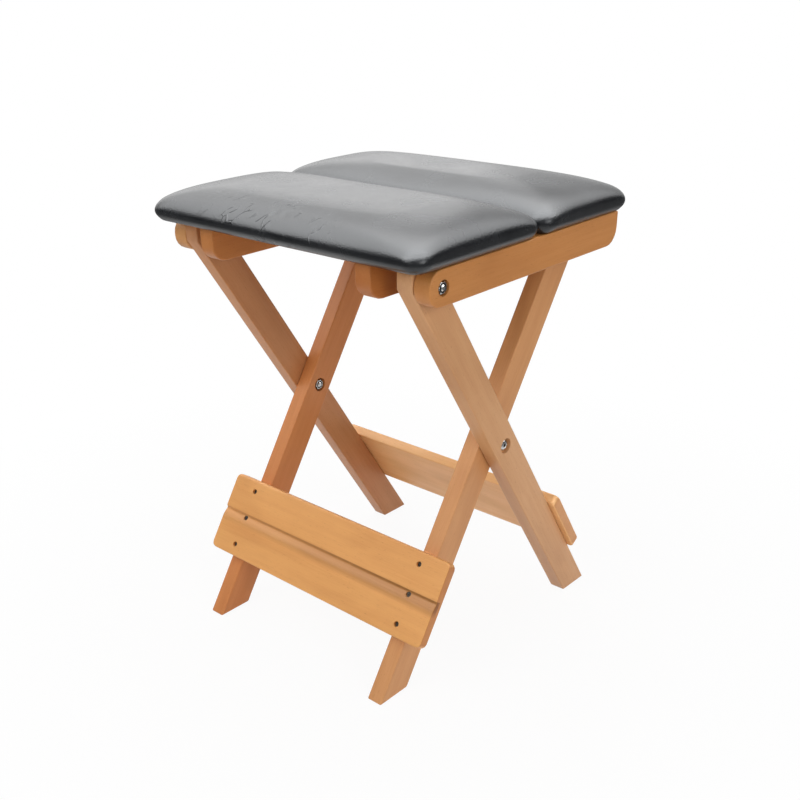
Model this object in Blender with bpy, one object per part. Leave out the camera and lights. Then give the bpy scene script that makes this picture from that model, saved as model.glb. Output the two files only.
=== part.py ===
"""Folding beech stool with crossed legs and a seat in two padded halves.

Metres, +Z up. X runs across the stool, -Y is its front, and the floor is Z = 0.
The crossing bolts lie above the origin. The outer legs stand at the back and lean
forward, the inner legs stand at the front and lean back. The rear seat half turns
on the tops of the outer legs, the front seat half on the tops of the inner legs.
"""
from math import atan2, cos, pi, radians, sin, tan

import bmesh
import bpy
from mathutils import Matrix, Vector

# Frame
timber = 0.018                   # thickness of legs and rails
leg_width = 0.034
pivot_height = 0.4235            # rail pivots above the floor
crossing_height = 0.2305         # crossing bolts above the floor
pivot_spacing = 0.2515           # front rail pivots to rear rail pivots
width_over_rails = 0.334         # over the outer faces of the outer rails
side_gap = 0.0005                # between neighbouring wooden pieces along X
leg_top_reach = 0.018            # from a pivot to the upright cut of the leg's top
leg_top_clearance = 0.0010       # leg's top below the rail's top
leg_top_round = 0.006

# Rails
rail_height = 0.033
rail_pivot_overhang = 0.018      # rail beyond its pivot
outer_rail_inset = 0.0030        # free rear end inside the seat's rear edge
inner_rail_inset = 0.0052        # free front end inside the seat's front edge
rail_pivot_round = 0.015
rail_free_round = 0.017

# Cross boards
board_overhang = 0.007           # beyond the outer faces of the outer legs
board_height = 0.089
board_thickness = 0.012
board_drop = 0.1275              # from the crossing down the leg to the board's top edge
board_corner_round = 0.006
groove_drop = 0.0395             # from the board's top edge to the groove's sharp edge
groove_width = 0.013
groove_depth = 0.0026
groove_wall = 0.0022             # width of the groove's steep side

# Edges and fits
edge_round = 0.0014              # eased edges of all wooden pieces
fit = 0.0003                     # between pieces that touch

# Pivot bolts
bolt_diameter = 0.006
bolt_head_diameter = 0.0115
bolt_head_height = 0.0034
bolt_socket_flats = 0.004
bolt_socket_depth = 0.0022
bolt_end = 0.0010                # bolt beyond its nut
bolt_chamfer = 0.0006
bolt_head_rim = 0.0012           # straight side of the head, below its dome
nut_flats = 0.010
nut_thickness = 0.005
nut_flare = 0.0005               # widening of the nut's bore at both ends
washer_diameter = 0.012
washer_thickness = 0.0012
head_sunk = 0.0014               # bolt head below the face of the wood
nut_sunk = 0.0004                # nut below the face of the wood
rail_recess_margin = 0.00125     # round the hardware of a rail pivot
crossing_recess_margin = 0.0020  # round the hardware of a crossing pivot

# Screws of the cross boards
screw_diameter = 0.0036
screw_head_diameter = 0.0054
screw_head_height = 0.0026
screw_head_rim = 0.0006          # straight rim above the head's cone
screw_sunk = 0.0024              # head below the board's face
screw_into_leg = 0.016
screw_pitch = 0.0317
screw_rows = 3

# Screws from the rails into the seat boards
seat_screw_diameter = 0.004
seat_screw_head_diameter = 0.0076
seat_screw_head_height = 0.0025
seat_screw_hole_depth = 0.010
seat_screw_head_room = 0.0006    # round the head in its hole
seat_screw_cover = 0.0025        # seat board left above a screw's point
seat_screw_inset = 0.040         # from a seat board's inner edge to the first screw
seat_screw_pitch = 0.080

# Seat
seat_overhang = 0.0005           # beyond the outer rails where a cushion meets them
seat_front = 0.1605              # front edge before the crossing bolts
seat_rear = 0.1525               # rear edge behind them
seat_split = 0.0105              # middle of the gap between the halves, behind them
seat_split_gap = 0.012           # between the halves where they meet the rails
seat_corner_round = 0.011
seat_board_thickness = 0.009
leather = 0.0010
foam_gap = 0.0006                # between the foam and its cover
cover_hem = 0.007                # leather folded under the seat board
cushion_height = 0.0368          # from the rails to the crown
cushion_widest = 0.0098          # height of the bulging side's widest line
cushion_bulge = 0.0080           # outer sides beyond the edge where they meet the rails
cushion_split_bulge = 0.0048     # the same where the two halves face each other
cushion_draw_in = 0.0015         # sides pulled in between the corners
dome_across = (5, 3)             # fall of the dome towards its ends and its root, along X
dome_along = (3, 1.8)            # the same along Y; a higher fall keeps the top flatter
dome_rings = (0.99, 0.965, 0.92, 0.84, 0.70, 0.45, 0.20)   # shares of the widest loop
cushion_sharp_angle = radians(60)

# Facets of round pieces
fine_steps = 16
coarse_steps = 10
corner_steps = 5                 # along each rounded corner of wood and cushions
cushion_side_steps = (6, 4)      # along a cushion's long and short sides, between its corners
fine_radius = 0.005              # bores wider than this have the fine steps
sharp_angle = radians(35)        # edges between hard faces
cutter_reach = 0.001             # cutters beyond the faces that they start from

# Derived places
half_spacing = pivot_spacing / 2
outer_rail_reach = half_spacing + seat_rear - outer_rail_inset
inner_rail_reach = half_spacing + seat_front - inner_rail_inset
pivot_rise = pivot_height - crossing_height
lean = atan2(half_spacing, pivot_rise)
seat_width = width_over_rails + 2 * seat_overhang
rail_top = pivot_height + rail_height / 2
cover_bottom = rail_top + fit
seat_board_bottom = cover_bottom + leather + fit
seat_board_top = seat_board_bottom + seat_board_thickness
nut_corners = nut_flats / cos(pi / 6)
widest_hardware = max(washer_diameter, bolt_head_diameter, nut_corners)
rail_recess = widest_hardware / 2 + rail_recess_margin
crossing_recess = widest_hardware / 2 + crossing_recess_margin
head_recess_depth = head_sunk + bolt_head_height
nut_recess_depth = nut_sunk + nut_thickness + washer_thickness + 3 * fit
seat_screw_into_board = seat_board_thickness - seat_screw_cover
sides = {"left": -1, "right": 1}
planes = {"outer_rail": 0, "outer_leg": 1, "inner_leg": 2, "inner_rail": 3}
hole_radius = bolt_diameter / 2 + fit
seat_halves = {
    "front": (-seat_front, seat_split - seat_split_gap / 2),
    "rear": (seat_split + seat_split_gap / 2, seat_rear),
}


def clear_scene():
    for obj in list(bpy.data.objects):
        bpy.data.objects.remove(obj)


def outer_face(piece):
    """Distance from the middle of the stool to the outer face of a leg or rail."""
    return width_over_rails / 2 - planes[piece] * (timber + side_gap)


def inner_face(piece):
    return outer_face(piece) - timber


def middle(piece):
    return outer_face(piece) - timber / 2


# Materials
def make_material(name, colour, roughness, metallic=0.0):
    material = bpy.data.materials.new(name)
    material.use_nodes = True
    shader = material.node_tree.nodes["Principled BSDF"]
    shader.inputs["Base Color"].default_value = (*colour, 1.0)
    shader.inputs["Roughness"].default_value = roughness
    shader.inputs["Metallic"].default_value = metallic
    material.diffuse_color = (*colour, 1.0)
    return material


def make_materials():
    return {
        "beech": make_material("beech", (0.60, 0.33, 0.15), 0.40),
        "plywood": make_material("plywood", (0.62, 0.45, 0.27), 0.65),
        "foam": make_material("foam", (0.80, 0.78, 0.70), 0.95),
        "leatherette": make_material("leatherette", (0.025, 0.027, 0.030), 0.42),
        "steel": make_material("steel", (0.62, 0.62, 0.61), 0.28, 1.0),
        "dark_steel": make_material("dark_steel", (0.05, 0.045, 0.04), 0.45, 1.0),
    }


# Objects
def add_object(name, mesh, material, parent=None, location=(0, 0, 0), rotation=(0, 0, 0)):
    obj = bpy.data.objects.new(name, mesh)
    bpy.context.collection.objects.link(obj)
    if not mesh.materials:
        mesh.materials.append(material)
    obj.parent = parent
    obj.location = location
    obj.rotation_euler = rotation
    return obj


def add_axis(name, location):
    """Empty on a joint's axis, which carries the pieces that turn about it."""
    empty = bpy.data.objects.new(name, None)
    empty.location = location
    bpy.context.collection.objects.link(empty)
    return empty


def ease_edges(obj):
    bevel = obj.modifiers.new("eased_edges", "BEVEL")
    bevel.width = edge_round
    bevel.segments = 2
    bevel.limit_method = "ANGLE"
    bevel.angle_limit = radians(40)


def mesh_from(bm, name, smooth_angle=sharp_angle):
    bmesh.ops.remove_doubles(bm, verts=bm.verts, dist=1e-6)
    bmesh.ops.recalc_face_normals(bm, faces=bm.faces)
    mesh = bpy.data.meshes.new(name)
    bm.to_mesh(mesh)
    bm.free()
    mesh.shade_smooth()
    mesh.set_sharp_from_angle(angle=smooth_angle)
    return mesh


# Outlines in the side plane, as (y, z) points
def keep_side(points, at, normal):
    """Part of a convex outline on the side of a line that the normal points away from."""
    kept = []
    for here, there in zip(points, points[1:] + points[:1]):
        a = (here[0] - at[0]) * normal[0] + (here[1] - at[1]) * normal[1]
        b = (there[0] - at[0]) * normal[0] + (there[1] - at[1]) * normal[1]
        if a <= 0:
            kept.append(here)
        if (a < 0) != (b < 0):
            share = a / (a - b)
            kept.append(tuple(h + share * (t - h) for h, t in zip(here, there)))
    return kept


def round_corner(before, corner, after, radius, steps):
    """Arc that replaces a corner between two straight edges."""
    c = Vector(corner)
    to_before = (Vector(before) - c).normalized()
    to_after = (Vector(after) - c).normalized()
    half_angle = to_before.angle(to_after) / 2
    setback = radius / tan(half_angle)
    centre = c + (to_before + to_after).normalized() * radius / sin(half_angle)
    start = c + to_before * setback - centre
    end = c + to_after * setback - centre
    return [tuple(centre + start.slerp(end, step / steps).normalized() * radius)
            for step in range(steps + 1)]


def round_outline(points, radii, steps):
    """Outline with each corner rounded by its own radius; 0 keeps a corner sharp."""
    rounded = []
    count = len(points)
    for index, (corner, radius) in enumerate(zip(points, radii)):
        if radius > 0:
            rounded += round_corner(points[index - 1], corner, points[(index + 1) % count], radius, steps)
        else:
            rounded.append(corner)
    return rounded


def plank_mesh(name, outline, x_low, x_high):
    """Plank whose side has the given outline."""
    bm = bmesh.new()
    verts = [bm.verts.new((x_low, y, z)) for y, z in outline]
    face = bm.faces.new(verts)
    grown = bmesh.ops.extrude_face_region(bm, geom=[face])
    moved = [item for item in grown["geom"] if isinstance(item, bmesh.types.BMVert)]
    bmesh.ops.translate(bm, verts=moved, vec=(x_high - x_low, 0, 0))
    return mesh_from(bm, name)


# Turned pieces and cutters
def add_turned(bm, profile, place, steps, closed=False):
    """Turns a profile of (radius, height) points about Z and puts it in place."""
    verts = [bm.verts.new((radius, 0, height)) for radius, height in profile]
    pairs = list(zip(verts, verts[1:]))
    if closed:
        pairs.append((verts[-1], verts[0]))
    edges = [bm.edges.new(pair) for pair in pairs]
    before = set(bm.verts) - set(verts)
    bmesh.ops.spin(bm, geom=verts + edges, axis=(0, 0, 1), cent=(0, 0, 0), steps=steps,
                   angle=2 * pi, use_merge=True)
    new_verts = [vert for vert in bm.verts if vert not in before]
    bmesh.ops.transform(bm, matrix=place, verts=new_verts)


def add_hexagon(bm, flats, low, high):
    """Hexagonal prism about Z; flats is its width over two opposite sides."""
    radius = flats / 2 / cos(pi / 6)
    made = bmesh.ops.create_cone(bm, cap_ends=True, segments=6, radius1=radius, radius2=radius,
                                 depth=high - low)
    bmesh.ops.translate(bm, verts=made["verts"], vec=(0, 0, (low + high) / 2))


def along_x(at, direction):
    """Places a turned piece with its axis along X, pointing outwards (1) or inwards (-1)."""
    return Matrix.Translation(at) @ Matrix.Rotation(direction * pi / 2, 4, "Y")


def cutter(name, holes, parent, location, rotation):
    """Hidden object that holds the shapes of a piece's holes, as (profile, place) pairs."""
    bm = bmesh.new()
    for profile, place in holes:
        widest = max(radius for radius, height in profile)
        add_turned(bm, profile, place, steps=fine_steps if widest > fine_radius else coarse_steps)
    obj = bpy.data.objects.new(name, mesh_from(bm, name))
    bpy.context.collection.objects.link(obj)
    obj.parent = parent
    obj.location = location
    obj.rotation_euler = rotation
    obj.hide_render = True
    obj.display_type = "WIRE"
    return obj


def cut_holes(obj, holes):
    cut = obj.modifiers.new("holes", "BOOLEAN")
    cut.operation = "DIFFERENCE"
    cut.solver = "EXACT"
    cut.object = cutter(obj.name + "_holes", holes, obj.parent, obj.location, obj.rotation_euler)


def stepped_hole(radius, recess_radius, recess_depth, thickness):
    """Through hole with a wider recess at its start; heights count from the recess side."""
    far = thickness + cutter_reach
    return [(0, -cutter_reach), (recess_radius, -cutter_reach), (recess_radius, recess_depth),
            (radius, recess_depth), (radius, far), (0, far)]


def blind_hole(radius, depth):
    """Pilot hole with a pointed end."""
    return [(0, -cutter_reach), (radius, -cutter_reach), (radius, depth), (0, depth + radius / 2)]


def board_screw_hole():
    """Through hole round a countersunk screw, with its head below the board's face."""
    head = screw_head_diameter / 2 + fit
    shank = screw_diameter / 2 + fit
    far = board_thickness + cutter_reach
    return [(0, -cutter_reach), (head, -cutter_reach), (head, screw_sunk + screw_head_rim),
            (shank, screw_sunk + screw_head_height), (shank, far), (0, far)]


# Hardware, each with its axis along Z
def bolt_mesh(grip):
    """Button-head bolt; its head's seat is Z = 0 and it reaches up by the grip."""
    shank = bolt_diameter / 2
    head = bolt_head_diameter / 2
    crown = (head * cos(pi / 4), -bolt_head_rim - (bolt_head_height - bolt_head_rim) * sin(pi / 4))
    profile = [(0, -bolt_head_height), crown, (head, -bolt_head_rim), (head, 0), (shank, 0),
               (shank, grip - bolt_chamfer), (shank - bolt_chamfer, grip), (0, grip)]
    bm = bmesh.new()
    add_turned(bm, profile, Matrix.Identity(4), steps=fine_steps)
    bolt = bpy.data.objects.new("bolt_blank", mesh_from(bm, "bolt"))
    bpy.context.collection.objects.link(bolt)

    bm = bmesh.new()
    add_hexagon(bm, bolt_socket_flats, -bolt_head_height - bolt_socket_depth,
                -bolt_head_height + bolt_socket_depth)
    socket = bpy.data.objects.new("socket_blank", mesh_from(bm, "socket"))
    bpy.context.collection.objects.link(socket)
    return cut_once(bolt, socket, "pivot_bolt")


def nut_mesh():
    """Hexagon nut with a flared bore; it lies on Z = 0."""
    bm = bmesh.new()
    add_hexagon(bm, nut_flats, 0, nut_thickness)
    nut = bpy.data.objects.new("nut_blank", mesh_from(bm, "nut"))
    bpy.context.collection.objects.link(nut)

    wide = hole_radius + 2 * nut_flare
    bm = bmesh.new()
    add_turned(bm, [(0, -nut_flare), (wide, -nut_flare), (hole_radius, nut_flare),
                    (hole_radius, nut_thickness - nut_flare), (wide, nut_thickness + nut_flare),
                    (0, nut_thickness + nut_flare)], Matrix.Identity(4), steps=coarse_steps)
    drill = bpy.data.objects.new("drill_blank", mesh_from(bm, "drill"))
    bpy.context.collection.objects.link(drill)
    return cut_once(nut, drill, "pivot_nut")


def cut_once(blank, tool, name):
    """Mesh of a blank with a tool cut out of it; both are then removed."""
    cut = blank.modifiers.new("cut", "BOOLEAN")
    cut.operation = "DIFFERENCE"
    cut.solver = "EXACT"
    cut.object = tool
    graph = bpy.context.evaluated_depsgraph_get()
    mesh = bpy.data.meshes.new_from_object(blank.evaluated_get(graph))
    mesh.name = name
    mesh.materials.clear()
    mesh.set_sharp_from_angle(angle=sharp_angle)
    bpy.data.objects.remove(blank)
    bpy.data.objects.remove(tool)
    return mesh


def washer_mesh():
    bm = bmesh.new()
    add_turned(bm, [(hole_radius, 0), (washer_diameter / 2, 0), (washer_diameter / 2, washer_thickness),
                    (hole_radius, washer_thickness)], Matrix.Identity(4), steps=fine_steps, closed=True)
    return mesh_from(bm, "pivot_washer")


def screw_mesh(name, length, diameter, head_diameter, rim, head_height):
    """Screw with its point up; the top of its head is Z = 0 and its point is at the length."""
    shank = diameter / 2
    head = head_diameter / 2
    profile = [(0, 0), (head, 0), (head, rim), (shank, head_height),
               (shank, length - 2 * diameter), (0, length)]
    bm = bmesh.new()
    add_turned(bm, profile, Matrix.Identity(4), steps=coarse_steps)
    return mesh_from(bm, name)


# Wooden frame
def leg_outline(toward_rear):
    """Outline of a leg about the crossing; its top points to the rear (1) or the front (-1)."""
    up = Vector((sin(lean), cos(lean)))
    across = Vector((cos(lean), -sin(lean)))
    far = pivot_rise + crossing_height
    half = leg_width / 2
    outline = [tuple(up * reach + across * side) for reach, side in
               ((-far, -half), (-far, half), (far, half), (far, -half))]
    top = pivot_rise + rail_height / 2 - leg_top_clearance
    outline = keep_side(outline, (0, -crossing_height), (0, -1))
    outline = keep_side(outline, (half_spacing + leg_top_reach, 0), (1, 0))
    outline = keep_side(outline, (0, top), (0, 1))
    radii = [leg_top_round if z > top - fit else 0 for y, z in outline]
    outline = round_outline(outline, radii, steps=corner_steps)
    return [(toward_rear * y, z) for y, z in outline]


def rail_outline(reach, toward_rear):
    """Outline of a rail about its pivot; its free end points to the rear (1) or the front (-1)."""
    low, high = -rail_height / 2, rail_height / 2
    pivot_round = min(rail_pivot_round, rail_height / 2 - fit)
    free_round = min(rail_free_round, rail_height - fit)
    outline = round_outline(
        [(-rail_pivot_overhang, low), (reach, low), (reach, high), (-rail_pivot_overhang, high)],
        [pivot_round, free_round, 0, pivot_round], steps=corner_steps)
    return [(toward_rear * y, z) for y, z in outline]


def board_screw_drops():
    """Distances from the crossing down the leg to the rows of screws in a cross board."""
    centre = board_drop + board_height / 2
    return [centre + (row - (screw_rows - 1) / 2) * screw_pitch for row in range(screw_rows)]


def leg_holes(piece, side, tilt):
    """Holes of a leg: crossing bolt, rail pivot bolt and pilot holes for the board's screws."""
    outside, inside = side * outer_face(piece), side * inner_face(piece)
    if piece == "outer_leg":
        crossing_place, crossing_depth = along_x((outside, 0, 0), -side), head_recess_depth
        pivot_place = along_x((inside, -half_spacing, pivot_rise), side)
    else:
        crossing_place, crossing_depth = along_x((inside, 0, 0), side), nut_recess_depth
        pivot_place = along_x((outside, half_spacing, pivot_rise), -side)
    holes = [(stepped_hole(hole_radius, crossing_recess, crossing_depth, timber), crossing_place),
             (stepped_hole(hole_radius, rail_recess, head_recess_depth, timber), pivot_place)]
    turn = Matrix.Rotation(tilt, 4, "X")
    facing = 1 if piece == "inner_leg" else -1
    for drop in board_screw_drops():
        start = Matrix.Translation((side * middle(piece), -facing * leg_width / 2, -drop))
        holes.append((blind_hole(screw_diameter / 2 + fit, screw_into_leg + fit),
                      turn @ start @ Matrix.Rotation(-facing * pi / 2, 4, "X")))
    return holes


def add_leg(piece, side_name, parent, material):
    side = sides[side_name]
    toward_rear = 1 if piece == "inner_leg" else -1
    low, high = sorted((side * inner_face(piece), side * outer_face(piece)))
    name = f"{piece}_{side_name}"
    place = (0, 0, 0) if parent else (0, 0, crossing_height)
    leg = add_object(name, plank_mesh(name, leg_outline(toward_rear), low, high), material, parent, place)
    ease_edges(leg)
    cut_holes(leg, leg_holes(piece, side, -toward_rear * lean))


def add_rail(piece, side_name, parent, material):
    """Rail with its pivot hole and the holes for the screws that hold the seat board."""
    side = sides[side_name]
    outer = piece == "outer_rail"
    toward_rear = 1 if outer else -1
    reach = outer_rail_reach if outer else inner_rail_reach
    low, high = sorted((side * inner_face(piece), side * outer_face(piece)))
    name = f"{piece}_{side_name}"
    rail = add_object(name, plank_mesh(name, rail_outline(reach, toward_rear), low, high), material, parent)
    ease_edges(rail)
    nut_face = outer_face(piece) if outer else inner_face(piece)
    inwards = -side if outer else side
    holes = [(stepped_hole(hole_radius, rail_recess, nut_recess_depth, timber),
              along_x((side * nut_face, 0, 0), inwards))]
    for y in seat_screw_places("rear" if outer else "front"):
        local_y = y + half_spacing if outer else y - half_spacing
        holes.append((stepped_hole(seat_screw_diameter / 2 + fit,
                                   seat_screw_head_diameter / 2 + seat_screw_head_room,
                                   seat_screw_hole_depth, rail_height),
                      Matrix.Translation((side * middle(piece), local_y, -rail_height / 2))))
    cut_holes(rail, holes)


def board_mesh(name, grooved):
    """Cross board about the crossing, before it is tilted: its face looks along -Y."""
    face_y = -leg_width / 2 - fit - board_thickness
    back_y = -leg_width / 2 - fit
    top, bottom = -board_drop, -board_drop - board_height
    groove_top = top - groove_drop
    ramp_steps = 4
    ramp = [(face_y + groove_depth * (1 - sin(pi / 2 * step / ramp_steps)),
             groove_top - groove_wall - (groove_width - groove_wall) * step / ramp_steps)
            for step in range(ramp_steps + 1)]
    groove = [(face_y, groove_top)] + ramp if grooved else []
    outline = [(face_y, top)] + groove + [(face_y, bottom), (back_y, bottom), (back_y, top)]
    half_length = outer_face("outer_leg") + board_overhang
    mesh = plank_mesh(name, outline, -half_length, half_length)
    bm = bmesh.new()
    bm.from_mesh(mesh)
    corners = [edge for edge in bm.edges
               if abs(edge.verts[0].co.x - edge.verts[1].co.x) < fit
               and all(min(abs(vert.co.z - top), abs(vert.co.z - bottom)) < fit for vert in edge.verts)
               and abs(edge.verts[0].co.z - edge.verts[1].co.z) < fit]
    bmesh.ops.bevel(bm, geom=corners, offset=board_corner_round, segments=3, profile=0.5,
                    affect="EDGES", offset_type="OFFSET", material=-1)
    bpy.data.meshes.remove(mesh)
    return mesh_from(bm, name)


def add_cross_board(name, leg, tilt, turned, parent, material):
    """Cross board screwed to two legs; a turned board faces the rear and has no groove."""
    place = (0, 0, 0) if parent else (0, 0, crossing_height)
    mesh = board_mesh(name, not turned)
    if turned:
        mesh.transform(Matrix.Rotation(pi, 4, "Z"))
    board = add_object(name, mesh, material, parent, place, (tilt, 0, 0))
    ease_edges(board)
    facing = -1 if turned else 1
    start_y = -facing * (leg_width / 2 + fit + board_thickness)
    into = Matrix.Rotation(-facing * pi / 2, 4, "X")
    holes = []
    for side in sides.values():
        for drop in board_screw_drops():
            holes.append((board_screw_hole(), Matrix.Translation((side * middle(leg), start_y, -drop)) @ into))
    cut_holes(board, holes)


def add_board_screws(name, leg, tilt, turned, parent, mesh, material):
    facing = -1 if turned else 1
    start_y = -facing * (leg_width / 2 + fit + board_thickness - screw_sunk)
    turn = Matrix.Rotation(tilt, 4, "X")
    base = Vector((0, 0, 0)) if parent else Vector((0, 0, crossing_height))
    for side_name, side in sides.items():
        for row, drop in enumerate(board_screw_drops(), start=1):
            at = base + turn @ Vector((side * middle(leg), start_y, -drop))
            add_object(f"{name}_{side_name}_{row}", mesh, material, parent, at,
                       (tilt - facing * pi / 2, 0, 0))


# Pivot hardware
def add_pivot_set(name, side, at, head_face, nut_face, meshes, material, parents):
    """Bolt, washer and nut through two neighbouring pieces.

    head_face and nut_face are distances from the middle of the stool to the faces that
    the recesses start from. parents are the axis empties, or None, of the piece with the
    head and of the piece with the nut, with the place that each counts from.
    """
    direction = 1 if nut_face > head_face else -1
    head_seat = head_face + direction * head_recess_depth
    washer_seat = nut_face - direction * nut_recess_depth
    nut_seat = washer_seat + direction * (washer_thickness + 2 * fit)
    turn = (0, direction * side * pi / 2, 0)
    bolt, washer, nut = meshes
    (head_parent, head_base), (nut_parent, nut_base) = parents
    add_object(name + "_bolt", bolt, material, head_parent,
               Vector((side * (head_seat - direction * fit), *at)) - head_base, turn)
    add_object(name + "_washer", washer, material, nut_parent,
               Vector((side * (washer_seat + direction * fit), *at)) - nut_base, turn)
    add_object(name + "_nut", nut, material, nut_parent,
               Vector((side * nut_seat, *at)) - nut_base, turn)


def bolt_grip():
    """Length of a pivot bolt from under its head to its end."""
    wood = 2 * timber + side_gap - head_recess_depth - nut_recess_depth
    return wood + washer_thickness + nut_thickness + bolt_end + 3 * fit


# Seat
def seat_screw_places(half):
    """Y of a seat half's screws, counted from its inner edge."""
    inner_edge = seat_halves[half][1] if half == "front" else seat_halves[half][0]
    away = -1 if half == "front" else 1
    return [inner_edge + away * (seat_screw_inset + step * seat_screw_pitch) for step in range(2)]


def seat_extent(half, outset, split_outset):
    """Middle Y, half width and half depth of a seat half, moved out by its outsets."""
    y_low, y_high = seat_halves[half]
    if half == "front":
        y_low, y_high = y_low - outset, y_high + split_outset
    else:
        y_low, y_high = y_low - split_outset, y_high + outset
    return (y_low + y_high) / 2, seat_width / 2 + outset, (y_high - y_low) / 2


def seat_ring(half, height, outset, split_outset, pull=0.0, side_steps=cushion_side_steps):
    """Closed loop round a seat half, moved out from the seat's edge by the outsets.

    The pull draws its sides in, most of all midway between the corners. side_steps are
    the numbers of edges along its long and its short sides.
    """
    centre_y, half_x, half_y = seat_extent(half, outset, split_outset)
    radius = seat_corner_round + outset
    corner_x, corner_y = half_x - radius, half_y - radius
    points = []
    for quarter in range(4):
        sign_x = (1, -1, -1, 1)[quarter]
        sign_y = (1, 1, -1, -1)[quarter]
        for step in range(corner_steps + 1):
            angle = quarter * pi / 2 + step / corner_steps * pi / 2
            points.append(Vector((sign_x * corner_x + radius * cos(angle),
                                  sign_y * corner_y + radius * sin(angle), 0)))
        next_x = (-1, -1, 1, 1)[quarter]
        next_y = (1, -1, -1, 1)[quarter]
        angle = (quarter + 1) * pi / 2
        end = Vector((next_x * corner_x + radius * cos(angle), next_y * corner_y + radius * sin(angle), 0))
        start = points[-1].copy()
        steps = side_steps[quarter % 2]
        points += [start.lerp(end, step / steps) for step in range(1, steps)]
    for point in points:
        u, v = point.x / half_x, point.y / half_y
        point.x -= pull * (1 - v * v) * u ** 7
        point.y += centre_y - pull * (1 - u * u) * v ** 7
        point.z = height
    return points


def dome_height(u, v):
    """Share of the dome's full height at a place whose sides are 1 at the widest loop."""
    (across, across_root), (along, along_root) = dome_across, dome_along
    return max(0.0, 1 - u ** across) ** (1 / across_root) * max(0.0, 1 - v ** along) ** (1 / along_root)


def cushion_rings(half, start_height, skin):
    """Loops of a cushion's surface from a start height up to the middle of its top.

    The skin is how far the surface lies inside the cover's outer surface.
    """
    rings = []
    wide = cover_bottom + cushion_widest
    side_rows = 3
    for row in range(side_rows + 1):
        height = start_height + (wide - start_height) * row / side_rows
        swell = sin(min(1.0, (height - cover_bottom) / cushion_widest) * pi / 2)
        rings.append(seat_ring(half, height, cushion_bulge * swell - skin,
                               cushion_split_bulge * swell - skin, cushion_draw_in * swell))
    centre_y, half_x, half_y = seat_extent(half, cushion_bulge - skin, cushion_split_bulge - skin)
    centre = Vector((0, centre_y, wide))
    rise = cushion_height - cushion_widest - skin
    widest_ring = rings[-1]
    for share in dome_rings:
        ring = []
        for point in widest_ring:
            u, v = abs(point.x) / half_x, abs(point.y - centre_y) / half_y
            edge = max(u, v)
            inner = centre.lerp(point, share)
            inner.z += rise * dome_height(share * u / edge, share * v / edge)
            ring.append(inner)
        rings.append(ring)
    return rings


def add_loft(bm, rings, cap_first, cap_last):
    """Skin of quads through loops that have the same number of points.

    Each quad starts at its lower loop, so that nested skins are split along the same diagonals.
    """
    loops = [[bm.verts.new(point) for point in ring] for ring in rings]
    for pair in zip(loops, loops[1:]):
        lower, upper = sorted(pair, key=lambda loop: loop[0].co.z)
        for index in range(len(lower)):
            after = (index + 1) % len(lower)
            bm.faces.new((lower[index], lower[after], upper[after], upper[index]))
    if cap_first:
        bm.faces.new(loops[0][::-1])
    if cap_last:
        bm.faces.new(loops[-1])


def cover_mesh(half, name):
    """Leatherette cover: a skin over the cushion, folded under the seat board."""
    outside = cushion_rings(half, cover_bottom, 0.0)
    inside = cushion_rings(half, cover_bottom + leather, leather)
    hem_low = seat_ring(half, cover_bottom, -cover_hem, -cover_hem)
    hem_high = seat_ring(half, cover_bottom + leather, -cover_hem, -cover_hem)
    bm = bmesh.new()
    add_loft(bm, inside[::-1] + [hem_high, hem_low] + outside, True, True)
    return mesh_from(bm, name, cushion_sharp_angle)


def foam_mesh(half, name):
    bm = bmesh.new()
    add_loft(bm, cushion_rings(half, seat_board_top + fit, leather + foam_gap), True, True)
    return mesh_from(bm, name, cushion_sharp_angle)


def seat_board_mesh(half, name):
    inset = -(leather + fit)
    bm = bmesh.new()
    add_loft(bm, [seat_ring(half, height, inset, inset, side_steps=(1, 1))
                  for height in (seat_board_bottom, seat_board_top)], True, True)
    return mesh_from(bm, name)


def add_seat_half(half, rail, axis, axis_at, screw, materials):
    """Seat board, foam, cover and screws of one seat half, carried on its rails' axis."""
    back = Matrix.Translation(-axis_at)
    pieces = (("seat_board", seat_board_mesh, "plywood"), ("foam", foam_mesh, "foam"),
              ("cover", cover_mesh, "leatherette"))
    for piece, make, finish in pieces:
        name = f"{half}_{piece}"
        mesh = make(half, name)
        mesh.transform(back)
        obj = add_object(name, mesh, materials[finish], axis)
        if piece == "seat_board":
            holes = [(blind_hole(seat_screw_diameter / 2 + fit, seat_screw_into_board + fit),
                      Matrix.Translation(Vector((side * middle(rail), y, seat_board_bottom)) - axis_at))
                     for side in sides.values() for y in seat_screw_places(half)]
            cut_holes(obj, holes)
    head_seat = rail_top - rail_height + seat_screw_hole_depth
    for side_name, side in sides.items():
        for number, y in enumerate(seat_screw_places(half), start=1):
            at = Vector((side * middle(rail), y, head_seat - seat_screw_head_height - fit)) - axis_at
            add_object(f"{half}_seat_screw_{side_name}_{number}", screw, materials["dark_steel"], axis, at)


def seat_screw_length():
    """From the top of the head to the point."""
    through_rail = rail_height - seat_screw_hole_depth
    to_board = seat_board_bottom - rail_top
    return seat_screw_head_height + through_rail + to_board + seat_screw_into_board


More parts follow.
